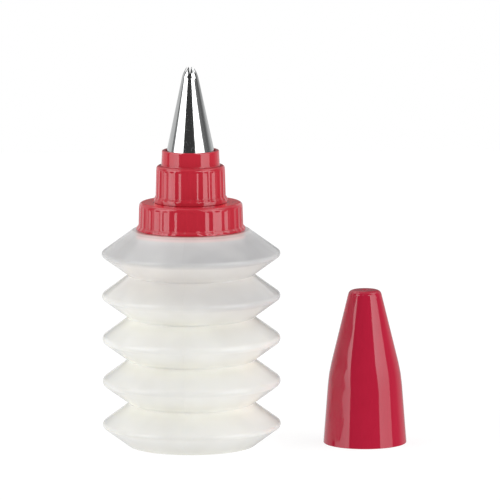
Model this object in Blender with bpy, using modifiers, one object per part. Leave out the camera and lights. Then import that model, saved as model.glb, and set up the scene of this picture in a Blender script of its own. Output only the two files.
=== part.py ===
"""Bellows icing bottle with a screw closure, a coupling nut, a star nozzle and a cap.

The bottle stands on the ground plane, and its cap stands beside it on its mouth.
All lengths are in metres, and every turned piece is drawn as (radius, height) points.
"""
import math

import bmesh
import bpy
from mathutils import Matrix

# Clearance between pieces that touch, and how far a cut runs past what it cuts
PART_GAP = 0.0003
CUT_OVERRUN = 0.001

# Bottle: a stack of folds between a flat base and a flat shoulder with a neck
FOLD_COUNT = 5
FOLD_PITCH = 0.0151
CREST_RADIUS = 0.0310
CREASE_RADIUS = 0.0221
CREST_INNER_ROUNDING = 0.0007
BOTTLE_WALL = 0.0010
BASE_INNER_ROUNDING = 0.0018
BASE_RECESS_RADIUS = 0.0150
BASE_RECESS_DEPTH = 0.0010
BASE_RECESS_SLOPE = 0.0012
SHOULDER_INNER_ROUNDING = 0.0006
NECK_RADIUS = 0.0166
NECK_WALL = 0.0020

# Screw closure: a ribbed skirt over the neck, with a central spout
CLOSURE_HEIGHT = 0.0093
CLOSURE_PANEL = 0.0015
CLOSURE_TOP_RADIUS = 0.01815
CLOSURE_FOOT_RADIUS = 0.01865
CLOSURE_LIP_RADIUS = 0.0192
CLOSURE_LIP_HEIGHT = 0.0015
CLOSURE_TOP_ROUNDING = 0.0015
CLOSURE_RIB_COUNT = 36
SPOUT_THREAD_RADIUS = 0.0106
SPOUT_NOSE_RADIUS = 0.0091
SPOUT_NOSE_HEIGHT = 0.0030
SPOUT_BORE_RADIUS = 0.0074

# Coupling nut: a ribbed skirt with a smooth collar that holds the nozzle down
NUT_SKIRT_HEIGHT = 0.0132
NUT_TOP_RADIUS = 0.01215
NUT_FOOT_RADIUS = 0.0125
NUT_LIP_RADIUS = 0.0129
NUT_LIP_HEIGHT = 0.0020
NUT_TOP_ROUNDING = 0.0012
NUT_TOP_WALL = 0.0012
NUT_RIB_COUNT = 30
COLLAR_HEIGHT = 0.0054
COLLAR_FOOT_RADIUS = 0.0104
COLLAR_TOP_RADIUS = 0.0101
COLLAR_ROUNDING = 0.0004
COLLAR_HOLE_LENGTH = 0.0014
COLLAR_SEAT_SLOPE = 0.0008

# Round grooves between the grip ribs of the closure and of the nut
GROOVE_RADIUS = 0.0006
GROOVE_DEPTH = 0.0004
GROOVE_MARGIN = 0.0004

# Star nozzle: a cone of sheet steel whose tip is cut into teeth
NOZZLE_LENGTH = 0.0325
NOZZLE_BASE_RADIUS = 0.0090
NOZZLE_TIP_RADIUS = 0.00215
NOZZLE_WALL = 0.0005
TOOTH_COUNT = 8
NOTCH_DEPTH = 0.0030
NOTCH_WIDTH = 0.0013

# Protective cap, taken off and stood beside the bottle
CAP_SPACING = 0.0607
CAP_SET_BACK = 0.0028
CAP_HEIGHT = 0.0543
CAP_WALL = 0.0013
CAP_FIT = 0.0004
CAP_BEND_HEIGHT = 0.0252
CAP_BEND_RADIUS = 0.0127
CAP_BEND_ROUNDING = 0.0200
CAP_TOP_RADIUS = 0.0059
CAP_TOP_ROUNDING = 0.0009
CAP_DIMPLE_RADIUS = 0.0008
CAP_DIMPLE_DEPTH = 0.0003

# How finely the round forms are cut
BOTTLE_SEGMENTS = 60
CLOSURE_SEGMENTS = 2 * CLOSURE_RIB_COUNT
NUT_SEGMENTS = 2 * NUT_RIB_COUNT
NOZZLE_SEGMENTS = 6 * TOOTH_COUNT
CAP_SEGMENTS = 48
CREST_STEPS = 1
ROUNDING_STEPS = 2
BEND_STEPS = 3
GROOVE_SIDES = 8
SHARP_ANGLE = math.radians(28)

# Directions in an outline's plane, as angles up from outwards
UP = math.pi / 2
OUT = 0.0
DOWN = -math.pi / 2

# Sizes that follow from the fits
CREST_ROUNDING = CREST_INNER_ROUNDING + BOTTLE_WALL
BASE_ROUNDING = BASE_INNER_ROUNDING + BOTTLE_WALL
SHOULDER_ROUNDING = SHOULDER_INNER_ROUNDING + BOTTLE_WALL
NECK_HEIGHT = CLOSURE_HEIGHT - CLOSURE_PANEL
NUT_BORE_DEPTH = NUT_SKIRT_HEIGHT - NUT_TOP_WALL
NUT_HEIGHT = NUT_SKIRT_HEIGHT + COLLAR_HEIGHT
NOZZLE_TAPER = (NOZZLE_BASE_RADIUS - NOZZLE_TIP_RADIUS) / NOZZLE_LENGTH
CAP_MOUTH_RADIUS = NUT_LIP_RADIUS + CAP_FIT + CAP_WALL

# Levels on the bottle's axis, from the ground up
SHOULDER_LEVEL = FOLD_COUNT * FOLD_PITCH
CLOSURE_LEVEL = SHOULDER_LEVEL + PART_GAP
NUT_LEVEL = CLOSURE_LEVEL + CLOSURE_HEIGHT + PART_GAP
NOZZLE_LEVEL = NUT_LEVEL + NUT_BORE_DEPTH + SPOUT_NOSE_HEIGHT

# The bottle and its cap stand either side of the middle of their footprint
BOTTLE_X = (CREST_RADIUS - CAP_SPACING - CAP_MOUTH_RADIUS) / 2
CAP_X = BOTTLE_X + CAP_SPACING


def collection(name):
    """New collection in the scene."""
    group = bpy.data.collections.new(name)
    bpy.context.scene.collection.children.link(group)
    return group


def surface(name, colour, roughness, metallic=0.0, alpha=1.0):
    """Plain Principled surface."""
    material = bpy.data.materials.new(name)
    material.use_nodes = True
    shader = material.node_tree.nodes["Principled BSDF"]
    shader.inputs["Base Color"].default_value = (*colour, 1.0)
    shader.inputs["Roughness"].default_value = roughness
    shader.inputs["Metallic"].default_value = metallic
    shader.inputs["Alpha"].default_value = alpha
    material.diffuse_color = (*colour, alpha)
    return material


def arc(centre, radius, start, end, steps):
    """Points on a round stretch of an outline, between two directions."""
    points = []
    for step in range(steps + 1):
        angle = start + (end - start) * step / steps
        points.append((centre[0] + radius * math.cos(angle), centre[1] + radius * math.sin(angle)))
    return points


def fillet(before, corner, after, rounding, steps=ROUNDING_STEPS):
    """Points that round off a corner of an outline between its two neighbours."""
    back = math.atan2(before[1] - corner[1], before[0] - corner[0])
    ahead = math.atan2(after[1] - corner[1], after[0] - corner[0])
    half = math.remainder(ahead - back, 2 * math.pi) / 2
    middle = back + half
    reach = rounding / abs(math.sin(half))
    centre = (corner[0] + reach * math.cos(middle), corner[1] + reach * math.sin(middle))
    turn = math.copysign(math.pi / 2, half)
    sweep = math.copysign(math.pi, half) - 2 * half
    return arc(centre, rounding, back - turn, back - turn - sweep, steps)


def flank_slope():
    """Angle below outwards of the normal of a flank that rises from a crease to a crest."""
    run = CREST_RADIUS - CREST_ROUNDING - CREASE_RADIUS
    rise = FOLD_PITCH / 2
    return math.atan2(run, rise) + math.asin(CREST_ROUNDING / math.hypot(run, rise))


def crest(level, inset, start, end, steps=CREST_STEPS):
    """Rounded crest of a fold, on its outside, or on the inside at an inset."""
    return arc((CREST_RADIUS - CREST_ROUNDING, level), CREST_ROUNDING - inset, start, end, steps)


def crease(level, inset):
    """Sharp crease between two folds, on the outside, or on the inside at an inset."""
    return (CREASE_RADIUS - inset / math.cos(flank_slope()), level)


def flat_corner(level, rounding, turn):
    """Middle of the rounding where a flank meets the flat base, or the flat shoulder."""
    slope = flank_slope()
    reach = rounding * (1 - math.sin(slope)) / math.cos(slope)
    return (CREASE_RADIUS - reach, level + turn * rounding)


def turned(name, outline, segments, closed=True):
    """Solid of revolution of an outline that runs down its outer side."""
    mesh = bpy.data.meshes.new(name)
    edges = [(index, index + 1) for index in range(len(outline) - 1)]
    if closed:
        edges.append((len(outline) - 1, 0))
    mesh.from_pydata([(radius, 0, height) for radius, height in outline], edges, [])
    piece = bpy.data.objects.new(name, mesh)
    parts.objects.link(piece)
    screw = piece.modifiers.new("Turn", "SCREW")
    screw.steps = segments
    screw.render_steps = segments
    screw.use_merge_vertices = True
    screw.merge_threshold = 0.00001
    return piece


def cutter(name, shape):
    """Cutting body from a bmesh, drawn as wires."""
    mesh = bpy.data.meshes.new(name)
    shape.to_mesh(mesh)
    shape.free()
    body = bpy.data.objects.new(name, mesh)
    body.hide_render = True
    body.display_type = "WIRE"
    cutters.objects.link(body)
    return body


def cut(piece, body):
    """Take a cutting body away from a piece that is still at its own origin."""
    modifier = piece.modifiers.new(body.name, "BOOLEAN")
    modifier.operation = "DIFFERENCE"
    modifier.solver = "EXACT"
    modifier.object = body


def finish(piece, material, location, parent=None):
    """Keep the shape that the modifiers make, shade it and put the piece in its place."""
    drawn = piece.data
    evaluated = piece.evaluated_get(bpy.context.evaluated_depsgraph_get())
    piece.data = bpy.data.meshes.new_from_object(evaluated)
    piece.modifiers.clear()
    bpy.data.meshes.remove(drawn)
    piece.data.name = piece.name
    piece.data.shade_smooth()
    piece.data.set_sharp_from_angle(angle=SHARP_ANGLE)
    piece.data.materials.clear()
    piece.data.materials.append(material)
    piece.parent = parent
    piece.location = location
    return piece


def grip_grooves(name, count, foot, head):
    """Ring of round grooves along a skirt's side, between its points foot and head."""
    run, rise = foot[0] - head[0], head[1] - foot[1]
    reach = GROOVE_RADIUS - GROOVE_DEPTH
    place = Matrix.Translation(((foot[0] + head[0]) / 2 + reach, 0, (foot[1] + head[1]) / 2))
    lean = Matrix.Rotation(-math.atan2(run, rise), 4, "Y")
    shape = bmesh.new()
    for index in range(count):
        facet_middle = (4 * index + 1) * math.pi / (2 * count)
        bmesh.ops.create_cone(
            shape,
            cap_ends=True,
            segments=GROOVE_SIDES,
            radius1=GROOVE_RADIUS,
            radius2=GROOVE_RADIUS,
            depth=math.hypot(run, rise),
            matrix=Matrix.Rotation(facet_middle, 4, "Z") @ place @ lean,
        )
    return cutter(name, shape)


def star_notch(name, turn):
    """Three-sided bar across the nozzle's tip that cuts a pointed notch in both its walls."""
    height = NOTCH_DEPTH + CUT_OVERRUN
    width = NOTCH_WIDTH * height / NOTCH_DEPTH
    height_share = 1 + math.sin(math.pi / 6)
    side_share = 2 * math.cos(math.pi / 6)
    size = Matrix.Diagonal((width / side_share, height / height_share, 1, 1))
    level = NOZZLE_LENGTH - NOTCH_DEPTH + height / height_share
    shape = bmesh.new()
    bmesh.ops.create_cone(
        shape,
        cap_ends=True,
        segments=3,
        radius1=1,
        radius2=1,
        depth=2 * NOZZLE_BASE_RADIUS,
        matrix=Matrix.Rotation(turn, 4, "Z")
        @ Matrix.Translation((0, 0, level))
        @ Matrix.Rotation(-math.pi / 2, 4, "X")
        @ size,
    )
    return cutter(name, shape)


def build_bottle_base(material, axis):
    """Base of the bottle up to its lowest crest, with a recess under its floor."""
    slope = flank_slope()
    rim = (FOLD_PITCH - PART_GAP) / 2
    foot = BASE_RECESS_RADIUS + BASE_RECESS_SLOPE
    corner = flat_corner(0, BASE_ROUNDING, 1)
    outline = [
        (0, BASE_RECESS_DEPTH + BOTTLE_WALL),
        (BASE_RECESS_RADIUS, BASE_RECESS_DEPTH + BOTTLE_WALL),
        (foot, BOTTLE_WALL),
        *arc(corner, BASE_INNER_ROUNDING, DOWN, -slope, ROUNDING_STEPS),
        *crest(rim, BOTTLE_WALL, -slope, OUT),
        *crest(rim, 0, OUT, -slope),
        *arc(corner, BASE_ROUNDING, -slope, DOWN, ROUNDING_STEPS),
        (foot, 0),
        (BASE_RECESS_RADIUS, BASE_RECESS_DEPTH),
        (0, BASE_RECESS_DEPTH),
    ]
    piece = turned("bottle_base", outline, BOTTLE_SEGMENTS, closed=False)
    return finish(piece, material, (0, 0, 0), axis)


def bellows_side(inset):
    """One side of the bellows' wall, from its top crest down to its lowest one."""
    slope = flank_slope()
    points = crest((FOLD_COUNT - 0.5) * FOLD_PITCH - PART_GAP / 2, inset, OUT, -slope)
    for fold in range(FOLD_COUNT - 1, 0, -1):
        points.append(crease(fold * FOLD_PITCH, inset))
        level = (fold - 0.5) * FOLD_PITCH
        if fold > 1:
            points.extend(crest(level, inset, slope, -slope, 2 * CREST_STEPS))
    points.extend(crest(level + PART_GAP / 2, inset, slope, OUT))
    return points


def build_bellows(material, axis):
    """Folds of the bottle between its lowest and its top crest."""
    outline = bellows_side(0) + bellows_side(BOTTLE_WALL)[::-1]
    return finish(turned("bellows", outline, BOTTLE_SEGMENTS), material, (0, 0, 0), axis)


def build_bottle_neck(material, axis):
    """Shoulder of the bottle above its top crest, with the neck that the closure screws on."""
    slope = flank_slope()
    rim = (PART_GAP - FOLD_PITCH) / 2
    corner = flat_corner(0, SHOULDER_ROUNDING, -1)
    outline = [
        (NECK_RADIUS, NECK_HEIGHT),
        (NECK_RADIUS, 0),
        *arc(corner, SHOULDER_ROUNDING, UP, slope, ROUNDING_STEPS),
        *crest(rim, 0, slope, OUT),
        *crest(rim, BOTTLE_WALL, OUT, slope),
        *arc(corner, SHOULDER_INNER_ROUNDING, slope, UP, ROUNDING_STEPS),
        (NECK_RADIUS - NECK_WALL, -BOTTLE_WALL),
        (NECK_RADIUS - NECK_WALL, NECK_HEIGHT),
    ]
    piece = turned("bottle_neck", outline, BOTTLE_SEGMENTS)
    return finish(piece, material, (0, 0, SHOULDER_LEVEL), axis)


def build_screw_closure(material, axis):
    """Ribbed screw closure whose spout rises inside the coupling nut."""
    bore = NECK_RADIUS + PART_GAP
    thread_top = CLOSURE_HEIGHT + NUT_BORE_DEPTH
    nose_top = thread_top + SPOUT_NOSE_HEIGHT
    panel = (SPOUT_THREAD_RADIUS, CLOSURE_HEIGHT)
    edge = (CLOSURE_TOP_RADIUS, CLOSURE_HEIGHT)
    foot = (CLOSURE_FOOT_RADIUS, CLOSURE_LIP_HEIGHT)
    outline = [
        (SPOUT_NOSE_RADIUS, nose_top),
        (SPOUT_NOSE_RADIUS, thread_top),
        (SPOUT_THREAD_RADIUS, thread_top),
        panel,
        *fillet(panel, edge, foot, CLOSURE_TOP_ROUNDING),
        foot,
        (CLOSURE_LIP_RADIUS, CLOSURE_LIP_HEIGHT / 2),
        (CLOSURE_LIP_RADIUS, 0),
        (bore, 0),
        (bore, CLOSURE_HEIGHT - CLOSURE_PANEL),
        (SPOUT_BORE_RADIUS, CLOSURE_HEIGHT - CLOSURE_PANEL),
        (SPOUT_BORE_RADIUS, nose_top),
    ]
    piece = turned("screw_closure", outline, CLOSURE_SEGMENTS)
    groove_foot = (CLOSURE_FOOT_RADIUS, CLOSURE_LIP_HEIGHT + GROOVE_MARGIN)
    groove_head = (CLOSURE_TOP_RADIUS, CLOSURE_HEIGHT - CLOSURE_TOP_ROUNDING - GROOVE_MARGIN)
    cut(piece, grip_grooves("closure_grooves", CLOSURE_RIB_COUNT, groove_foot, groove_head))
    return finish(piece, material, (0, 0, CLOSURE_LEVEL), axis)


def build_coupling_nut(material, axis):
    """Ribbed nut whose smooth collar holds the nozzle down on the spout."""
    seat_level = NUT_HEIGHT - COLLAR_HOLE_LENGTH
    seat_rise = NUT_LEVEL + seat_level - NOZZLE_LEVEL
    hole = NOZZLE_BASE_RADIUS - NOZZLE_TAPER * seat_rise + PART_GAP
    thread_bore = SPOUT_THREAD_RADIUS + PART_GAP
    collar_bore = SPOUT_NOSE_RADIUS + PART_GAP
    rim = (hole, NUT_HEIGHT)
    collar_edge = (COLLAR_TOP_RADIUS, NUT_HEIGHT)
    collar_foot = (COLLAR_FOOT_RADIUS, NUT_SKIRT_HEIGHT)
    edge = (NUT_TOP_RADIUS, NUT_SKIRT_HEIGHT)
    foot = (NUT_FOOT_RADIUS, NUT_LIP_HEIGHT)
    outline = [
        rim,
        *fillet(rim, collar_edge, collar_foot, COLLAR_ROUNDING),
        collar_foot,
        *fillet(collar_foot, edge, foot, NUT_TOP_ROUNDING),
        foot,
        (NUT_LIP_RADIUS, NUT_LIP_HEIGHT / 2),
        (NUT_LIP_RADIUS, 0),
        (thread_bore, 0),
        (thread_bore, NUT_BORE_DEPTH),
        (collar_bore, NUT_BORE_DEPTH),
        (collar_bore, seat_level - COLLAR_SEAT_SLOPE),
        (hole, seat_level),
    ]
    piece = turned("coupling_nut", outline, NUT_SEGMENTS)
    groove_foot = (NUT_FOOT_RADIUS, NUT_LIP_HEIGHT + GROOVE_MARGIN)
    groove_head = (NUT_TOP_RADIUS, NUT_SKIRT_HEIGHT - NUT_TOP_ROUNDING - GROOVE_MARGIN)
    cut(piece, grip_grooves("nut_grooves", NUT_RIB_COUNT, groove_foot, groove_head))
    return finish(piece, material, (0, 0, NUT_LEVEL), axis)


def build_star_nozzle(material, axis):
    """Conical nozzle that stands on the spout's nose, with its tip cut into pointed teeth."""
    outline = [
        (NOZZLE_TIP_RADIUS, NOZZLE_LENGTH),
        (NOZZLE_BASE_RADIUS, 0),
        (NOZZLE_BASE_RADIUS - NOZZLE_WALL, 0),
        (NOZZLE_TIP_RADIUS - NOZZLE_WALL, NOZZLE_LENGTH),
    ]
    piece = turned("star_nozzle", outline, NOZZLE_SEGMENTS)
    facet_middle = math.pi / NOZZLE_SEGMENTS
    for index in range(TOOTH_COUNT // 2):
        turn = 2 * math.pi * index / TOOTH_COUNT + facet_middle
        cut(piece, star_notch(f"star_notch_{index + 1}", turn))
    finish(piece, material, (0, 0, NOZZLE_LEVEL), axis)
    piece.rotation_euler.z = -facet_middle
    return piece


def build_protective_cap(material):
    """Tall cap with a gentle lower taper, a steeper upper one and a dimple in its top."""
    inner_top = CAP_HEIGHT - CAP_WALL
    mouth = (CAP_MOUTH_RADIUS, 0)
    bend = (CAP_BEND_RADIUS, CAP_BEND_HEIGHT)
    shoulder = (CAP_TOP_RADIUS, CAP_HEIGHT)
    dimple_edge = (CAP_DIMPLE_RADIUS, CAP_HEIGHT)
    inner_mouth = (CAP_MOUTH_RADIUS - CAP_WALL, 0)
    inner_bend = (CAP_BEND_RADIUS - CAP_WALL, CAP_BEND_HEIGHT)
    inner_shoulder = (CAP_TOP_RADIUS - CAP_WALL, inner_top)
    outline = [
        (0, CAP_HEIGHT - CAP_DIMPLE_DEPTH),
        dimple_edge,
        *fillet(dimple_edge, shoulder, bend, CAP_TOP_ROUNDING),
        *fillet(shoulder, bend, mouth, CAP_BEND_ROUNDING, BEND_STEPS),
        mouth,
        inner_mouth,
        *fillet(inner_mouth, inner_bend, inner_shoulder, CAP_BEND_ROUNDING, BEND_STEPS),
        inner_shoulder,
        (0, inner_top),
    ]
    piece = turned("protective_cap", outline, CAP_SEGMENTS, closed=False)
    return finish(piece, material, (CAP_X, CAP_SET_BACK, 0))


for leftover in list(bpy.data.objects):
    bpy.data.objects.remove(leftover)
parts = collection("icing_bottle")
cutters = collection("cutters")

milky_plastic = surface("milky_plastic", (0.80, 0.79, 0.74), 0.35, alpha=0.7)
red_plastic = surface("red_plastic", (0.50, 0.018, 0.042), 0.22)
polished_steel = surface("polished_steel", (0.72, 0.72, 0.72), 0.12, metallic=1.0)

bottle_axis = bpy.data.objects.new("bottle_axis", None)
bottle_axis.location = (BOTTLE_X, 0, 0)
parts.objects.link(bottle_axis)

build_bottle_base(milky_plastic, bottle_axis)
build_bellows(milky_plastic, bottle_axis)
build_bottle_neck(milky_plastic, bottle_axis)
build_screw_closure(red_plastic, bottle_axis)
build_coupling_nut(red_plastic, bottle_axis)
build_star_nozzle(polished_steel, bottle_axis)
build_protective_cap(red_plastic)
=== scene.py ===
import math

import bpy
import numpy as np
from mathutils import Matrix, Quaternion, Vector


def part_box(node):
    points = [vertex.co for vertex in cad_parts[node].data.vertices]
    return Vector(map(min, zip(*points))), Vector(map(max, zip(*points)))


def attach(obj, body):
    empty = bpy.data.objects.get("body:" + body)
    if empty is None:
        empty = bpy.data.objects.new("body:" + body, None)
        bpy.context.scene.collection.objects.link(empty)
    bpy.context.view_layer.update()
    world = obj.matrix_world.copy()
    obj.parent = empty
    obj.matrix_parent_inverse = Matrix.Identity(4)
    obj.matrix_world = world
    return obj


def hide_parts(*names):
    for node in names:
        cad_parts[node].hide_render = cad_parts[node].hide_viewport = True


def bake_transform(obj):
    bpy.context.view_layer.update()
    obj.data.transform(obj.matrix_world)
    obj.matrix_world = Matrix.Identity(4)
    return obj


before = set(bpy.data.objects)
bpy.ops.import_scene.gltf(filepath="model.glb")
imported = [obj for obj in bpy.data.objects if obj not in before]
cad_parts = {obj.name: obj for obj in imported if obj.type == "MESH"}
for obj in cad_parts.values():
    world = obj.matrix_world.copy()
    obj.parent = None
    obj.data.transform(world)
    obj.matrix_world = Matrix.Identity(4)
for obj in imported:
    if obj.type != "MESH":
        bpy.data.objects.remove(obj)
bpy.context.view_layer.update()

# Millimetres as metres. Lengths below are in millimetres where nothing else is said
MM = 0.001

# Axes and levels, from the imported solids
BASE_LOW, BASE_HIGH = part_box("bottle_base")
CAP_LOW, CAP_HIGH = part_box("protective_cap")
BOTTLE_AXIS = Vector(((BASE_LOW.x + BASE_HIGH.x) / 2, 0, 0))
CAP_AXIS = Vector(((CAP_LOW.x + CAP_HIGH.x) / 2, (CAP_LOW.y + CAP_HIGH.y) / 2, 0))
NOZZLE_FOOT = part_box("star_nozzle")[0].z / MM

# Bottle. A fold's crest and the crease above it are corners (radius, height, rounding)
PITCH = 15.1
CRESTS = (
    (31.95, 7.35, 1.2),
    (32.25, 22.65, 1.7),
    (32.25, 37.65, 1.7),
    (32.05, 52.7, 1.35),
    (31.95, 67.6, 1.1),
)
CREASES = (
    (21.75, 14.85, 0.3),
    (22.1, 30.15, 0.3),
    (21.95, 45.25, 0.3),
    (21.9, 60.2, 0.3),
)

# Its wall at the base and the shoulder, and across a fold, then its foot, shoulder and neck
WALL = 0.9
WALL_ACROSS = 1.5
BASE = 22.2
RECESS = 15.0
RECESS_FOOT = 16.2
RECESS_DEPTH = 1.0
SHOULDER = 76.05
SHOULDER_EDGE = 20.3
NECK_CORE = 15.7
NECK_BORE = 14.6
NECK_TOP = 83.3

# Mould seams of the bottle: levels of the two ends, height of the ridge, and then in degrees the
# turn of the front one, half the width and the columns that draw it, from its middle
SEAM_FOOT = 0.5
SEAM_HEAD = SHOULDER - 0.1
SEAM_HEIGHT = 0.03
SEAM_TURN = -5.0
SEAM_HALF_WIDTH = 0.4
SEAM_COLUMNS = (-0.5, -0.3, -0.12, 0, 0.12, 0.3, 0.5)

# Levels of the closure's and the nut's feet in the photograph
CLOSURE_LEVEL = SHOULDER + 0.05
NUT_LEVEL = CLOSURE_LEVEL + 9.65

# Grip ribs: their numbers, and a power above 1 that makes a rib narrower than its groove
CLOSURE_RIBS = 36
NUT_RIBS = 30
RIB_POWER = 1.5

# Screw threads: the spout's core, how far each ridge stands out, and for both threads the pitch,
# half the ridge's width, the power that rounds it and the height over which it fades
SPOUT_CORE = 9.8
NECK_THREAD = 0.9
SPOUT_THREAD = 0.8
THREAD_PITCH = 3.0
THREAD_HALF_WIDTH = 0.9
THREAD_POWER = 0.7
THREAD_FADE = 0.8

# Star nozzle: length, radii at its base and its tip, wall and turn
NOZZLE_LENGTH = 32.5
NOZZLE_BASE = 8.95
NOZZLE_TIP = 2.1
NOZZLE_WALL = 0.45
NOZZLE_TURN = math.radians(-20)

# Its teeth: number, length and the power that rounds their ends. Above a level they bend inwards,
# with the square of the height over it. Near the edge the wall thins out to a share of itself
TEETH = 8
TOOTH_LENGTH = 2.8
TOOTH_POWER = 1.6
TOOTH_BEND_FROM = 28.8
TOOTH_BEND = 0.065
TOOTH_THINNING = 2.5
TOOTH_EDGE = 0.3

# How finely the pieces are cut. A power below 1 crowds the nozzle's rows towards its tip, and
# support is the widest strip that is kept beside a rounding
BOTTLE_STEPS = 144
CAP_STEPS = 192
RIB_STEPS = 12
TOOTH_STEPS = 16
NOZZLE_ROWS = 30
ROW_POWER = 0.7
ARC_STEP = math.radians(9)
SUPPORT = 0.25

# Colours of the bottle's full lower folds, of the clearer ones above them and of its bare top.
# Left and right are the sides as the camera sees them; the left tones are paler as painted light,
# that side being lit more. The SETTLED tones are for the wall from a crease up to the crest, which
# faces down: paler both for icing sunk behind it and as painted light from below
FULL_CREST = (0.865, 0.860, 0.825, 1)
FULL_CREASE = (0.915, 0.905, 0.838, 1)
CLEARER_LEFT = (0.745, 0.728, 0.702, 1)
CLEARER_RIGHT = (0.685, 0.676, 0.668, 1)
FULLER_LEFT = (0.815, 0.798, 0.770, 1)
FULLER_RIGHT = (0.750, 0.735, 0.715, 1)
SETTLED_AND_LIT_LEFT = (0.845, 0.815, 0.785, 1)
SETTLED_AND_LIT_RIGHT = (0.775, 0.755, 0.728, 1)
BARE_CLEAR = (0.520, 0.518, 0.522, 1)
BARE_SMEARED = (0.575, 0.572, 0.570, 1)
# Painted highlight along the crest of the bare top fold
BARE_CREST_HIGHLIGHT = (0.64, 0.637, 0.635, 1)

# Levels between which the full folds turn clearer, and between which the bare top begins
CLEARING = (42.0, 58.0)
BARE_LINE = (66.0, 68.2)

# Colours of the shoulder's edge, where the red closure's glow and reflection are painted into the
# milky wall with painted light on the rim's sides, and of the neck
GLOW_HAZE = (0.74, 0.70, 0.70, 1)
GLOW_BAND = (0.68, 0.60, 0.58, 1)
GLOW_LINE = (0.73, 0.57, 0.565, 1)
RIM_SIDE = (0.60, 0.585, 0.58, 1)
RIM_FRONT = (0.63, 0.49, 0.47, 1)
RIM_FOOT = (0.66, 0.41, 0.40, 1)
NECK_WALL = (0.80, 0.785, 0.77, 1)

# Reds of the closure and the nut, and of the cap, each as dark and light, and the refraction
WARM_RED = ((0.51, 0.021, 0.038, 1), (0.57, 0.026, 0.048, 1))
WARM_INDEX = 1.58
COOL_RED = ((0.45, 0.012, 0.039, 1), (0.50, 0.015, 0.047, 1))
COOL_INDEX = 1.46
# Painted light on the closure's top ledge beside the nut, at its sides
LEDGE_LIT_RED = (0.86, 0.028, 0.045, 1)

# Camera, in metres. Its film is the usual 36 mm wide, and it rolls by a fifth of a degree
CAMERA_PLACE = (-0.00156, -2.0, 0.3603)
CAMERA_AIM = (-0.00156, 0, 0.06866)
CAMERA_LENS = 417.1
CAMERA_FILM = 36.0
CAMERA_ROLL = math.radians(-0.2)

# Soft boxes of the world, in degrees round the object from the front and up from the horizon.
# An inner edge leans from low to high, and fade is what is left of the light at the outer edge
LEFT_BOX = {"side": -1.0, "low": 46.0, "high": 54.0, "outer": 93.5, "top": 36.0, "fade": 0.5}
RIGHT_BOX = {"side": 1.0, "low": 42.0, "high": 35.0, "outer": 82.0, "top": 34.0, "fade": 0.7}

# Strengths of a soft box at the horizon and high up, and what is added below the horizon
BOX_GLOW_LOW = 2.8
BOX_GLOW_HIGH = 4.1
BOX_GLOW_BELOW = 1.0

# Strengths of the other lights of the world
HIGH_GLOW = 1.6
ABOVE_GLOW = 0.3
ROOM_GLOW = 0.06

# Floor: half its side in metres, its own grey, the white laid over it, what diffuse rays miss of
# that white and its share. The shadow shows in the rest
FLOOR_HALF = 0.8
FLOOR_GREY = 0.9
FLOOR_WHITE = 1.1
FLOOR_LOSS = 0.02
FLOOR_SHARE = 0.8

# Cards for the reflections of the nozzle, the nut and the closure, on a cylinder round the bottle:
# corners (turn in degrees, height) from low left round to high left, and strength
CARD_REACH = 80.0
CARD_COLUMNS = 12
CARDS = {
    "card_left": (((-57, 116), (-36, 116), (-33, 158), (-57, 158)), 3.7),
    "card_right": (((27.5, 116), (38, 116), (38, 158), (17, 158)), 3.7),
    "flag_left": (((-103, 106), (-86.5, 106), (-86.5, 146), (-103, 146)), 0.25),
    "flag_right": (((74, 114), (92, 114), (84, 150), (54, 150)), 0.18),
    "back_left": (((-158, 76), (-128, 76), (-128, 110), (-158, 110)), 0.8),
    "back_low": (((162, 84), (198, 84), (198, 94), (162, 94)), 0.65),
    "back_right": (((128, 76), (160, 76), (160, 122), (128, 122)), 0.7),
}


# Outlines and turned meshes

def rounded(corners):
    """Points of an outline whose corners (radius, height, rounding) are rounded off."""
    points = []
    last = len(corners) - 1
    for index, (radius, height, rounding) in enumerate(corners):
        corner = np.array((radius, height))
        if rounding == 0 or index in (0, last):
            points.append(tuple(corner))
            continue
        back = np.array(corners[index - 1][:2]) - corner
        ahead = np.array(corners[index + 1][:2]) - corner
        room = min(np.linalg.norm(back), np.linalg.norm(ahead))
        back, ahead = back / np.linalg.norm(back), ahead / np.linalg.norm(ahead)
        half = math.acos(np.clip(back @ ahead, -1, 1)) / 2
        reach = rounding / math.tan(half)
        middle = (back + ahead) / np.linalg.norm(back + ahead)
        centre = corner + middle * rounding / math.sin(half)
        start, end = corner + back * reach, corner + ahead * reach
        spare = min(SUPPORT, (room - reach) / 3)
        if spare > 0.01:
            points.append(tuple(start + back * spare))
        sweep = math.pi - 2 * half
        steps = max(2, math.ceil(sweep / ARC_STEP))
        first = math.atan2(*(start - centre)[::-1])
        turn = math.remainder(math.atan2(*(end - centre)[::-1]) - first, 2 * math.pi)
        for step in range(steps + 1):
            angle = first + turn * step / steps
            spoke = np.array((math.cos(angle), math.sin(angle)))
            points.append(tuple(centre + rounding * spoke))
        if spare > 0.01:
            points.append(tuple(end + ahead * spare))
    return points


def divided(points, start, end, step, core=0.0):
    """The outline with its stretch between two heights, outside a core, cut into short steps."""
    slack = 1e-6
    out = [points[0]]
    for (r0, z0), (r1, z1) in zip(points, points[1:]):
        between = min(z0, z1) >= start - slack and max(z0, z1) <= end + slack
        count = 1
        if between and min(r0, r1) >= core:
            count = max(1, round(math.hypot(r1 - r0, z1 - z0) / step))
        for index in range(1, count + 1):
            share = index / count
            out.append((r0 + (r1 - r0) * share, z0 + (z1 - z0) * share))
    return out


def evenly(steps):
    """Angles of a full turn in even steps."""
    return np.arange(steps) * 2 * math.pi / steps


def face_out(mesh):
    """Turn every face outwards, by the sign of the volume that they enclose."""
    volume = 0.0
    for polygon in mesh.polygons:
        corners = [mesh.vertices[index].co for index in polygon.vertices]
        for second, third in zip(corners[1:], corners[2:]):
            volume += corners[0].dot(second.cross(third))
    if volume < 0:
        mesh.flip_normals()


def added(name, mesh, place):
    """New object in the scene."""
    piece = bpy.data.objects.new(name, mesh)
    bpy.context.scene.collection.objects.link(piece)
    piece.location = place
    return piece


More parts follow.
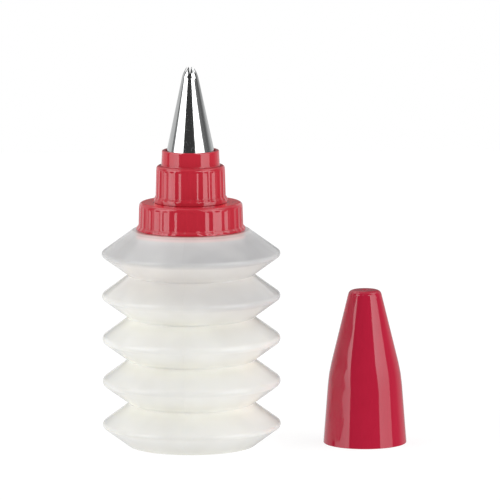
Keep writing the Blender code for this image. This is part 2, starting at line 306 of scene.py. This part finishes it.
def moulded(name, points, faces, axis):
    """Smooth closed piece that keeps its points, in millimetres from its axis, for its material."""
    mesh = bpy.data.meshes.new(name)
    mesh.from_pydata((points * MM).tolist(), [], faces)
    rest = mesh.attributes.new("rest", "FLOAT_VECTOR", "POINT")
    rest.data.foreach_set("vector", points.astype(np.float32).ravel())
    mesh.update()
    face_out(mesh)
    mesh.shade_smooth()
    return added(name, mesh, axis)


def turned(name, outline, angles, axis, level=0.0, shape=None, closed=True):
    """Piece turned from an outline. shape(angles, radius, height) gives each point's radius."""
    steps = len(angles)
    rows, points = [], []
    for radius, height in outline:
        if radius < 1e-6:
            rows.append([len(points)])
            points.append((0.0, 0.0, height))
            continue
        radii = np.full(steps, radius) if shape is None else shape(angles, radius, height)
        rows.append(list(range(len(points), len(points) + steps)))
        heights = np.full(steps, height)
        points.extend(zip(radii * np.cos(angles), radii * np.sin(angles), heights))
    pairs = list(zip(rows, rows[1:]))
    if closed:
        pairs.append((rows[-1], rows[0]))
    faces = []
    for lower, upper in pairs:
        for index in range(steps):
            after = (index + 1) % steps
            if len(lower) == 1:
                faces.append((lower[0], upper[after], upper[index]))
            elif len(upper) == 1:
                faces.append((lower[index], lower[after], upper[0]))
            else:
                faces.append((lower[index], lower[after], upper[after], upper[index]))
    return moulded(name, np.array(points) + np.array((0, 0, level)), faces, axis)


def smooth_step(value, low, high):
    """Smooth step from 0 at low to 1 at high."""
    share = np.clip((value - low) / (high - low), 0, 1)
    return share * share * (3 - 2 * share)


def helix(core, height, low, high):
    """Radius with a right-handed thread on a core, which fades in and out between two heights."""
    def shape(angles, radius, level):
        if abs(radius - core) > 0.05 or not low < level < high:
            return np.full(len(angles), radius)
        turns = (level - low) / THREAD_PITCH - angles / (2 * math.pi)
        offset = (turns - np.round(turns)) * THREAD_PITCH
        ridge = np.clip(1 - (offset / THREAD_HALF_WIDTH) ** 2, 0, 1) ** THREAD_POWER
        fade = min(1.0, (level - low) / THREAD_FADE, (high - level) / THREAD_FADE)
        return radius + height * ridge * fade
    return shape


def ribs(count, phase, depth, low, high, core):
    """Radius with shallow ribs outside a core, which fade in over low and out over high."""
    def shape(angles, radius, level):
        if radius < core:
            return np.full(len(angles), radius)
        window = smooth_step(level, *low) * smooth_step(level, *reversed(high))
        wave = (1 + np.cos(count * (angles + math.pi / 2 - phase))) / 2
        return radius - depth * window * (1 - wave ** RIB_POWER)
    return shape


# Pieces

def bottle_outline():
    """The bottle's wall, from the middle of its base outside to the middle of its base inside."""
    outer = [
        (0, RECESS_DEPTH, 0),
        (RECESS, RECESS_DEPTH, 0.5),
        (RECESS_FOOT, 0, 0.6),
        (BASE, 0, 0.9),
    ]
    for crest, crease in zip(CRESTS, CREASES + (None,)):
        outer.append(crest)
        if crease:
            outer.append(crease)
    outer += [
        (SHOULDER_EDGE, SHOULDER, 0.9),
        (NECK_CORE, SHOULDER, 0.4),
        (NECK_CORE, NECK_TOP, 0.4),
        (NECK_BORE, NECK_TOP, 0.4),
    ]
    inner = [
        (NECK_BORE, SHOULDER - WALL, 0.6),
        (SHOULDER_EDGE - 0.4, SHOULDER - WALL, 0.4),
    ]
    for crest, crease in zip(reversed(CRESTS), reversed((None,) + CREASES)):
        inner.append((crest[0] - WALL_ACROSS, crest[1], max(0.3, crest[2] - WALL)))
        if crease:
            inner.append((crease[0] - WALL_ACROSS, crease[1], crease[2] + WALL))
    inner += [
        (BASE - 0.4, WALL, 0.6),
        (RECESS_FOOT, WALL, 0.5),
        (RECESS, RECESS_DEPTH + WALL, 0.5),
        (0, RECESS_DEPTH + WALL, 0),
    ]
    return rounded(outer + inner)


def build_bottle():
    """The whole bottle: base, folds, shoulder and threaded neck in one wall."""
    outline = divided(bottle_outline(), start=SHOULDER + 0.6, end=NECK_TOP - 0.6, step=0.2)
    recess_points = 6
    neck = next(index for index, point in enumerate(outline) if point[1] > SHOULDER + 0.3)
    outside = outline[recess_points:neck]
    seamed = {point for point in outside if SEAM_FOOT <= point[1] <= SEAM_HEAD}
    thread = helix(NECK_CORE, NECK_THREAD, low=SHOULDER + 0.9, high=NECK_TOP - 0.9)
    seams = [math.radians(-90 + turn) for turn in (SEAM_TURN, SEAM_TURN + 180)]
    extra = [seam + math.radians(away) for seam in seams for away in SEAM_COLUMNS]
    columns = np.array(extra) % (2 * math.pi)
    angles = np.sort(np.concatenate((evenly(BOTTLE_STEPS), columns)))

    def shape(angles, radius, height):
        if (radius, height) not in seamed:
            return thread(angles, radius, height)
        away = [np.remainder(angles - seam + math.pi, 2 * math.pi) - math.pi for seam in seams]
        away = np.degrees(np.min(np.abs(away), axis=0))
        return radius + SEAM_HEIGHT * np.clip(1 - away / SEAM_HALF_WIDTH, 0, 1)

    piece = turned("bottle", outline, angles, BOTTLE_AXIS, shape=shape, closed=False)
    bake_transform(piece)
    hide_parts("bottle_base", "bellows", "bottle_neck")
    return piece


def build_closure():
    """Ribbed screw closure with a flared foot and a threaded spout."""
    corners = [
        (9.1, 24.0, 0.3),
        (9.1, 21.6, 0.3),
        (SPOUT_CORE, 21.3, 0.2),
        (SPOUT_CORE, 9.6, 0.3),
        (18.05, 9.6, 1.3),
        (18.3, 1.5, 0.8),
        (19.0, 0.75, 0.35),
        (19.1, 0, 0.12),
        (16.9, 0, 0.3),
        (16.9, 8.0, 0.4),
        (7.4, 8.0, 0.3),
        (7.4, 24.0, 0.3),
    ]
    middle = (8.25, 24.0, 0)
    side = 17.5
    outline = rounded([middle, *corners, middle])[:-1]
    outline = divided(outline, start=0.2, end=9.0, step=0.2, core=side)
    outline = divided(outline, start=9.9, end=21.2, step=0.3)
    rib = ribs(
        CLOSURE_RIBS,
        phase=math.radians(-3.9),
        depth=0.19,
        low=(0.25, 0.6),
        high=(8.0, 8.7),
        core=side,
    )
    thread = helix(SPOUT_CORE, SPOUT_THREAD, low=10.5, high=20.9)

    def shape(angles, radius, level):
        return thread(angles, radius, level) if radius < side else rib(angles, radius, level)

    angles = evenly(CLOSURE_RIBS * RIB_STEPS)
    piece = turned("closure", outline, angles, BOTTLE_AXIS, CLOSURE_LEVEL, shape)
    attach(piece, "closure")
    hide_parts("screw_closure")
    return piece


def build_nut():
    """Ribbed coupling nut with a flared foot and a smooth collar."""
    corners = [
        (8.85, 18.2, 0.15),
        (9.95, 18.2, 0.45),
        (10.2, 12.9, 0.35),
        (11.95, 12.9, 1.15),
        (12.25, 2.2, 0.6),
        (12.8, 1.4, 0.4),
        (12.85, 0, 0.1),
        (10.9, 0, 0.3),
        (10.9, 11.7, 0.3),
        (9.4, 11.7, 0.3),
        (9.4, 16.1, 0.2),
        (8.85, 16.9, 0.15),
    ]
    middle = (8.85, 17.6, 0)
    side = 11.5
    outline = rounded([middle, *corners, middle])[:-1]
    outline = divided(outline, start=0.8, end=12.2, step=0.25, core=side)
    rib = ribs(
        NUT_RIBS,
        phase=math.radians(-2.6),
        depth=0.17,
        low=(0.9, 1.5),
        high=(11.3, 11.9),
        core=side,
    )
    piece = turned("nut", outline, evenly(NUT_RIBS * RIB_STEPS), BOTTLE_AXIS, NUT_LEVEL, rib)
    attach(piece, "nut")
    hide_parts("coupling_nut")
    return piece


def build_cap():
    """Tall hollow cap with a gentle bend and a dimple in its flat top."""
    corners = [
        (0, 53.4, 0),
        (0.6, 53.5, 0.2),
        (1.0, 54.05, 0.3),
        (5.5, 54.05, 1.9),
        (12.70, 24.6, 50.0),
        (14.58, 0, 0.25),
        (13.45, 0, 0.25),
        (11.5, 24.6, 50.0),
        (4.5, 53.0, 0.8),
        (0, 53.0, 0),
    ]
    piece = turned("cap", rounded(corners), evenly(CAP_STEPS), CAP_AXIS, closed=False)
    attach(piece, "cap")
    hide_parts("protective_cap")
    return piece


def nozzle_side(angles, tops, inset):
    """Points of the cone's outside, or of its inside at an inset, in rows up to its teeth."""
    points = []
    for row in range(NOZZLE_ROWS + 1):
        heights = tops * (row / NOZZLE_ROWS) ** ROW_POWER
        bend = TOOTH_BEND * np.clip(heights - TOOTH_BEND_FROM, 0, None) ** 2
        radii = NOZZLE_BASE + (NOZZLE_TIP - NOZZLE_BASE) * heights / NOZZLE_LENGTH - bend
        radii = radii - inset * np.clip((tops - heights) / TOOTH_THINNING, TOOTH_EDGE, 1)
        points.extend(zip(radii * np.sin(angles), -radii * np.cos(angles), heights))
    return points


def build_nozzle():
    """Star nozzle: a cone of thin steel whose tip is cut and bent into teeth."""
    steps = TEETH * TOOTH_STEPS
    angles = evenly(steps) + NOZZLE_TURN
    from_point = 1 - np.abs((np.arange(steps) % TOOTH_STEPS) / TOOTH_STEPS * 2 - 1)
    tops = NOZZLE_LENGTH - TOOTH_LENGTH * from_point ** TOOTH_POWER
    points = nozzle_side(angles, tops, 0.0) + nozzle_side(angles, tops, NOZZLE_WALL)
    side, top = steps * (NOZZLE_ROWS + 1), steps * NOZZLE_ROWS
    faces = []
    for low in range(0, top, steps):
        high = low + steps
        for index in range(steps):
            after = (index + 1) % steps
            faces.append((low + index, low + after, high + after, high + index))
            inner = (low + after, low + index, high + index, high + after)
            faces.append(tuple(side + corner for corner in inner))
    for index in range(steps):
        after = (index + 1) % steps
        faces.append((top + index, top + after, side + top + after, side + top + index))
        faces.append((after, index, side + index, side + after))
    lifted = np.array(points) + np.array((0, 0, NOZZLE_FOOT))
    piece = moulded("nozzle", lifted, faces, BOTTLE_AXIS)
    piece.data.set_sharp_from_angle(angle=math.radians(35))
    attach(piece, "nozzle")
    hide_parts("star_nozzle")
    return piece


# Materials

class Nodes:
    """Small helper that adds linked nodes to a node tree."""

    def __init__(self, tree):
        self.tree = tree

    def put(self, value, socket):
        """Link a socket's value, or write a plain one, into a socket."""
        if isinstance(value, bpy.types.NodeSocket):
            self.tree.links.new(value, socket)
        else:
            socket.default_value = value

    def add(self, kind, inputs=(), **settings):
        node = self.tree.nodes.new(kind)
        for key, value in settings.items():
            setattr(node, key, value)
        for key, value in dict(inputs).items():
            self.put(value, node.inputs[key])
        return node

    def math(self, operation, *values):
        inputs = dict(enumerate(values))
        return self.add("ShaderNodeMath", inputs, operation=operation).outputs[0]

    def total(self, first, *others):
        for other in others:
            first = self.math("ADD", first, other)
        return first

    def product(self, first, *others):
        for other in others:
            first = self.math("MULTIPLY", first, other)
        return first

    def less(self, first, second):
        return self.math("SUBTRACT", first, second)

    def size(self, value):
        return self.math("ABSOLUTE", value)

    def ramp(self, value, low, high, to_low=0.0, to_high=1.0, kind="SMOOTHSTEP"):
        inputs = {0: value, 1: low, 2: high, 3: to_low, 4: to_high}
        return self.add("ShaderNodeMapRange", inputs, interpolation_type=kind).outputs[0]

    def noise(self, scale, detail, vector, stretch=None):
        if stretch is not None:
            mapping = self.add("ShaderNodeMapping", {"Vector": vector, "Scale": stretch})
            vector = mapping.outputs[0]
        inputs = {"Vector": vector, "Scale": scale, "Detail": detail}
        return self.add("ShaderNodeTexNoise", inputs).outputs[0]

    def mix(self, share, first, second, blend="MIX"):
        node = self.add("ShaderNodeMix", data_type="RGBA", blend_type=blend)
        for index, value in ((0, share), (6, first), (7, second)):
            self.put(value, node.inputs[index])
        return node.outputs[2]

    def place(self, rest):
        """Across, height and radius of a point of a piece."""
        x, y, height = self.add("ShaderNodeSeparateXYZ", {0: rest}).outputs
        radius = self.math("SQRT", self.total(self.product(x, x), self.product(y, y)))
        return x, height, radius


def material(name):
    """New material with its helper, its Principled shader and the rest place in millimetres."""
    made = bpy.data.materials.new(name)
    made.use_nodes = True
    nodes = Nodes(made.node_tree)
    shader = made.node_tree.nodes["Principled BSDF"]
    rest = nodes.add("ShaderNodeAttribute", attribute_name="rest").outputs["Vector"]
    return made, nodes, shader, rest


def fold_colour(nodes, x, height, radius, cloud):
    """Pale tones of the full lower folds and the clearer folds above, with painted light on the
    left side and on the clearer folds' down-facing flanks.
    """
    creased = nodes.ramp(radius, 29.0, 22.0)
    full = nodes.mix(creased, FULL_CREST, FULL_CREASE)
    # Painted light: the left side, lit more, is paler than the right
    across = nodes.ramp(x, -20.0, 24.0)
    clearer = nodes.mix(across, CLEARER_LEFT, CLEARER_RIGHT)
    fuller = nodes.mix(across, FULLER_LEFT, FULLER_RIGHT)
    # Down-facing flanks from a crease up to the crest: paler for icing sunk behind them, and
    # painted light from below
    settled_and_lit = nodes.mix(across, SETTLED_AND_LIT_LEFT, SETTLED_AND_LIT_RIGHT)
    phase = nodes.math("FRACT", nodes.math("DIVIDE", nodes.total(height, 0.2), PITCH))
    over_crest = nodes.ramp(phase, 0.36, 0.46)
    thin = nodes.mix(over_crest, settled_and_lit, nodes.mix(creased, clearer, fuller))
    # The clearing line leans with x, which also paints the left side paler as light
    level = nodes.total(height, nodes.product(cloud, 12.0), nodes.product(x, 0.25))
    return nodes.mix(nodes.ramp(level, *CLEARING), full, thin)


def bare_colour(nodes, x, height, radius, rest):
    """Grey tones of the bare top, with painted light on its crest and left side, and the red
    closure's glow and reflection painted round the shoulder's edge.
    """
    # Smears at random, with a slope across that paints light on the left side
    residue_and_painted_light = nodes.less(nodes.noise(0.07, 2.0, rest), nodes.product(x, 0.009))
    colour = nodes.mix(nodes.ramp(residue_and_painted_light, 0.34, 0.60), BARE_CLEAR, BARE_SMEARED)
    # Painted highlight along the crest of the bare top fold
    colour = nodes.mix(nodes.ramp(radius, 30.3, 31.5), colour, BARE_CREST_HIGHLIGHT)
    # Painted red glow and reflection of the closure, in bands under its foot where the wall faces
    # front and back
    front = nodes.ramp(nodes.size(x), 19.6, 17.6)
    for low, high, share, tint in (
        (4.5, 1.5, 0.25, GLOW_HAZE),
        (1.9, 1.4, 0.9, GLOW_BAND),
        (1.5, 1.2, 0.75, GLOW_LINE),
    ):
        ramp = nodes.ramp(height, SHOULDER - low, SHOULDER - high, 0.0, share)
        colour = nodes.mix(nodes.product(front, ramp), colour, tint)
    # Painted light on the rim's sides and painted red glow at its front
    rim = nodes.ramp(height, SHOULDER - 0.95, SHOULDER - 0.65)
    colour = nodes.mix(rim, colour, nodes.mix(front, RIM_SIDE, RIM_FRONT))
    # Painted red reflection of the closure's foot where it meets the shoulder
    foot = nodes.ramp(height, SHOULDER - 0.25, SHOULDER - 0.05)
    colour = nodes.mix(nodes.product(front, foot), colour, RIM_FOOT)
    return nodes.mix(nodes.ramp(radius, 19.15, 18.95), colour, NECK_WALL)


def wall_shade(nodes, height, radius, rest):
    """Streaks of the wall, with painted shade towards the foot and on the low crests, and painted
    light in the creases.
    """
    streaks = nodes.noise(0.10, 1.0, rest, (1.0, 1.0, 0.3))
    # Painted shade on the crests of the low folds, to damp their highlight
    low_crest_painted_shade = nodes.product(
        nodes.ramp(radius, 30.2, 31.6, 0.0, 0.06),
        nodes.ramp(height, 32.0, 26.0),
    )
    # Painted shade darker towards the foot, and painted light paler in the creases
    shade = nodes.product(
        nodes.ramp(streaks, 0.3, 0.7, 0.975, 1.02),
        nodes.ramp(height, 0.0, 9.0, 0.86, 1.0),
        nodes.less(1.0, low_crest_painted_shade),
        nodes.ramp(radius, 24.5, 22.3, 1.0, 1.07),
    )
    return nodes.add("ShaderNodeCombineXYZ", {0: shade, 1: shade, 2: shade}).outputs[0]


def milky_plastic():
    """Translucent low-density polyethylene, greyer where nothing lies behind it, with painted light
    and shade in its colour.
    """
    made, nodes, shader, rest = material("milky_plastic")
    x, height, radius = nodes.place(rest)
    cloud = nodes.less(nodes.noise(0.05, 2.0, rest), 0.5)
    folds = fold_colour(nodes, x, height, radius, cloud)
    bare = bare_colour(nodes, x, height, radius, rest)
    line = nodes.total(height, nodes.product(cloud, 2.0))
    colour = nodes.mix(nodes.ramp(line, *BARE_LINE), folds, bare)
    shade = wall_shade(nodes, height, radius, rest)
    nodes.put(nodes.mix(1.0, colour, shade, "MULTIPLY"), shader.inputs["Base Color"])
    shader.inputs["Roughness"].default_value = 0.08
    shader.inputs["Subsurface Weight"].default_value = 0.5
    shader.inputs["Subsurface Radius"].default_value = (1.0, 0.95, 0.85)
    shader.inputs["Subsurface Scale"].default_value = 0.6 * MM
    shader.inputs["IOR"].default_value = 1.5
    return made


def red_plastic(name, shades, index):
    """Glossy moulded polypropylene, with painted light on the closure's thin ledge beside the nut.
    """
    made, nodes, shader, rest = material(name)
    x, height, radius = nodes.place(rest)
    dark, light = shades
    # Painted light on the closure's top ledge, at its left and right sides
    ledge = nodes.product(
        nodes.ramp(height, CLOSURE_LEVEL + 9.1, CLOSURE_LEVEL + 9.45),
        nodes.ramp(radius, 12.9, 13.3),
        nodes.ramp(radius, 17.7, 16.8),
        nodes.ramp(nodes.size(x), 8.0, 12.0),
    )
    colour = nodes.mix(nodes.noise(0.15, 3.0, rest), dark, light)
    nodes.put(nodes.mix(ledge, colour, LEDGE_LIT_RED), shader.inputs["Base Color"])
    roughness = nodes.ramp(nodes.noise(0.8, 5.0, rest), 0.3, 0.7, 0.04, 0.08)
    nodes.put(roughness, shader.inputs["Roughness"])
    waves = {"Height": nodes.noise(0.5, 3.0, rest), "Strength": 0.25, "Distance": 0.02 * MM}
    bump = nodes.add("ShaderNodeBump", waves).outputs[0]
    nodes.put(bump, shader.inputs["Normal"])
    shader.inputs["IOR"].default_value = index
    return made


def polished_steel():
    """Polished sheet steel with fine drawing marks along the cone and a few dull flecks."""
    made, nodes, shader, rest = material("polished_steel")
    shader.inputs["Base Color"].default_value = (0.61, 0.62, 0.62, 1)
    shader.inputs["Metallic"].default_value = 1.0
    marks = nodes.noise(1.0, 4.0, rest, (3.0, 3.0, 0.3))
    flecks = nodes.ramp(nodes.noise(3.5, 2.0, rest), 0.66, 0.76, 0.0, 0.30)
    roughness = nodes.total(nodes.ramp(marks, 0.3, 0.7, 0.06, 0.13), flecks)
    nodes.put(roughness, shader.inputs["Roughness"])
    return made


def dress(piece, made):
    """Give a piece its material."""
    piece.data.materials.clear()
    piece.data.materials.append(made)


# Stage

def make_camera():
    """Camera of the photograph: two metres in front and a little above, looking down."""
    data = bpy.data.cameras.new("camera")
    data.lens = CAMERA_LENS
    data.sensor_width = CAMERA_FILM
    data.clip_start, data.clip_end = 0.05, 20.0
    camera = added("camera", data, CAMERA_PLACE)
    aim = Vector(CAMERA_AIM) - camera.location
    roll = Quaternion((0, 0, 1), CAMERA_ROLL)
    camera.rotation_euler = (aim.to_track_quat("-Z", "Y") @ roll).to_euler()
    bpy.context.scene.camera = camera


def soft_box(nodes, turn, rise, box):
    """Tall light on one side, with a leaning inner edge, brighter at its top and its foot."""
    away = nodes.product(turn, box["side"])
    lean = nodes.ramp(rise, 0.0, 20.0, box["low"], box["high"], "LINEAR")
    lean = nodes.less(lean, nodes.ramp(rise, 20.0, 32.0, 0.0, 12.0))
    inside = nodes.less(away, lean)
    width = box["outer"] - box["low"]
    shape = nodes.product(
        nodes.ramp(inside, -1.0, 1.0),
        nodes.ramp(away, box["outer"] + 1.0, box["outer"] - 1.0),
        nodes.ramp(rise, box["top"] + 8.0, box["top"]),
        nodes.ramp(rise, -16.0, -10.0),
    )
    glow = nodes.total(
        nodes.ramp(rise, 0.0, 18.0, BOX_GLOW_LOW, BOX_GLOW_HIGH, "LINEAR"),
        nodes.ramp(rise, -4.0, -6.0, 0.0, BOX_GLOW_BELOW),
    )
    faded = nodes.ramp(inside, 0.0, width, 1.0, box["fade"], "LINEAR")
    return nodes.product(shape, nodes.product(glow, faded))


def rear_light(nodes, turn, rise):
    """Weak light behind the object on both sides, with a darker gap straight behind."""
    gap = nodes.product(
        nodes.ramp(nodes.size(turn), 148.0, 165.0),
        nodes.ramp(rise, 0.0, 5.0),
    )
    glow = nodes.total(
        nodes.ramp(turn, -101.0, -108.0, 0.0, 0.65),
        nodes.ramp(turn, 105.0, 128.0, 0.0, 0.35),
        nodes.ramp(turn, 82.0, 90.0, 0.0, 0.1),
    )
    return nodes.product(glow, nodes.less(1.0, nodes.product(gap, 0.75)))


def high_light(nodes, turn, rise):
    """Light high up on both sides, stronger on the right, that fades out behind."""
    shape = nodes.product(
        nodes.ramp(rise, 36.0, 46.0),
        nodes.ramp(rise, 74.0, 64.0),
        nodes.ramp(nodes.size(turn), 55.0, 70.0),
        nodes.ramp(turn, 128.0, 116.0),
        nodes.ramp(turn, -128.0, -116.0, 0.5, 1.0),
        nodes.ramp(turn, -152.0, -142.0),
        nodes.ramp(turn, -20.0, 20.0, 1.0, 1.4),
    )
    return nodes.product(shape, HIGH_GLOW)


def make_world():
    """White for the camera, and for all else a dark front with a tall soft box on each side."""
    world = bpy.data.worlds.new("studio")
    world.use_nodes = True
    bpy.context.scene.world = world
    nodes = Nodes(world.node_tree)
    background = world.node_tree.nodes["Background"]
    direction = nodes.add("ShaderNodeTexCoord").outputs["Generated"]
    x, y, z = nodes.add("ShaderNodeSeparateXYZ", {0: direction}).outputs
    turn = nodes.math("DEGREES", nodes.math("ARCTAN2", x, nodes.product(y, -1.0)))
    rise = nodes.math("DEGREES", nodes.math("ARCSINE", z))
    glow = nodes.total(
        soft_box(nodes, turn, rise, LEFT_BOX),
        soft_box(nodes, turn, rise, RIGHT_BOX),
        rear_light(nodes, turn, rise),
        high_light(nodes, turn, rise),
        nodes.product(nodes.ramp(rise, 60.0, 74.0), ABOVE_GLOW),
        ROOM_GLOW,
    )
    seen = nodes.add("ShaderNodeLightPath").outputs["Is Camera Ray"]
    strength = nodes.add("ShaderNodeMix", {0: seen, 2: glow, 3: 1.0}).outputs[0]
    nodes.put(strength, background.inputs["Strength"])
    background.inputs["Color"].default_value = (1, 1, 1, 1)


def stage_material(name):
    """New material that isn't sampled as a lamp, with its helper and its surface socket."""
    made = bpy.data.materials.new(name)
    made.use_nodes = True
    made.cycles.emission_sampling = "NONE"
    return made, Nodes(made.node_tree), made.node_tree.nodes["Material Output"].inputs["Surface"]


def make_floor():
    """Pale floor that the camera sees as white, with the shadow kept; glossy rays pass it."""
    mesh = bpy.data.meshes.new("floor")
    half = FLOOR_HALF
    corners = [(-half, -half, 0), (half, -half, 0), (half, half, 0), (-half, half, 0)]
    mesh.from_pydata(corners, [], [(0, 1, 2, 3)])
    floor = added("floor", mesh, (0, 0, 0))
    made, nodes, surface = stage_material("floor")
    shader = made.node_tree.nodes["Principled BSDF"]
    shader.inputs["Base Color"].default_value = (FLOOR_GREY, FLOOR_GREY, FLOOR_GREY, 1)
    shader.inputs["Roughness"].default_value = 0.9
    path = nodes.add("ShaderNodeLightPath").outputs
    strength = nodes.less(FLOOR_WHITE, nodes.product(path["Is Diffuse Ray"], FLOOR_LOSS))
    white = nodes.add("ShaderNodeEmission", {"Color": (1, 1, 1, 1), "Strength": strength})
    seen = nodes.math("MAXIMUM", path["Is Camera Ray"], path["Is Diffuse Ray"])
    parts = {0: nodes.product(seen, FLOOR_SHARE), 1: shader.outputs[0], 2: white.outputs[0]}
    lit = nodes.add("ShaderNodeMixShader", parts)
    clear = nodes.add("ShaderNodeBsdfTransparent")
    parts = {0: path["Is Glossy Ray"], 1: lit.outputs[0], 2: clear.outputs[0]}
    nodes.put(nodes.add("ShaderNodeMixShader", parts).outputs[0], surface)
    mesh.materials.append(made)


def make_card(name, corners, strength):
    """Bent studio card that only reflections show."""
    (low_left, foot), (low_right, _), (high_right, head), (high_left, _) = corners
    points, faces = [], []
    for height, start, end in ((foot, low_left, low_right), (head, high_left, high_right)):
        for turn in np.radians(np.linspace(start, end, CARD_COLUMNS + 1)):
            points.append((CARD_REACH * math.sin(turn), -CARD_REACH * math.cos(turn), height))
    for index in range(CARD_COLUMNS):
        above = CARD_COLUMNS + 1 + index
        faces.append((index, index + 1, above + 1, above))
    mesh = bpy.data.meshes.new(name)
    mesh.from_pydata((np.array(points) * MM).tolist(), [], faces)
    card = added(name, mesh, BOTTLE_AXIS)
    for kind in ("camera", "diffuse", "transmission", "volume_scatter", "shadow"):
        setattr(card, "visible_" + kind, False)
    made, nodes, surface = stage_material(name)
    white = nodes.add("ShaderNodeEmission", {"Color": (1, 1, 1, 1), "Strength": strength})
    nodes.put(white.outputs[0], surface)
    mesh.materials.append(made)


warm_red = red_plastic("red_plastic", WARM_RED, WARM_INDEX)
cool_red = red_plastic("red_plastic_cap", COOL_RED, COOL_INDEX)
dress(build_bottle(), milky_plastic())
dress(build_closure(), warm_red)
dress(build_nut(), warm_red)
dress(build_nozzle(), polished_steel())
dress(build_cap(), cool_red)
make_camera()
make_world()
make_floor()
for card_name, (card_corners, card_strength) in CARDS.items():
    make_card(card_name, card_corners, card_strength)

scene = bpy.context.scene
scene.view_settings.view_transform = "Standard"
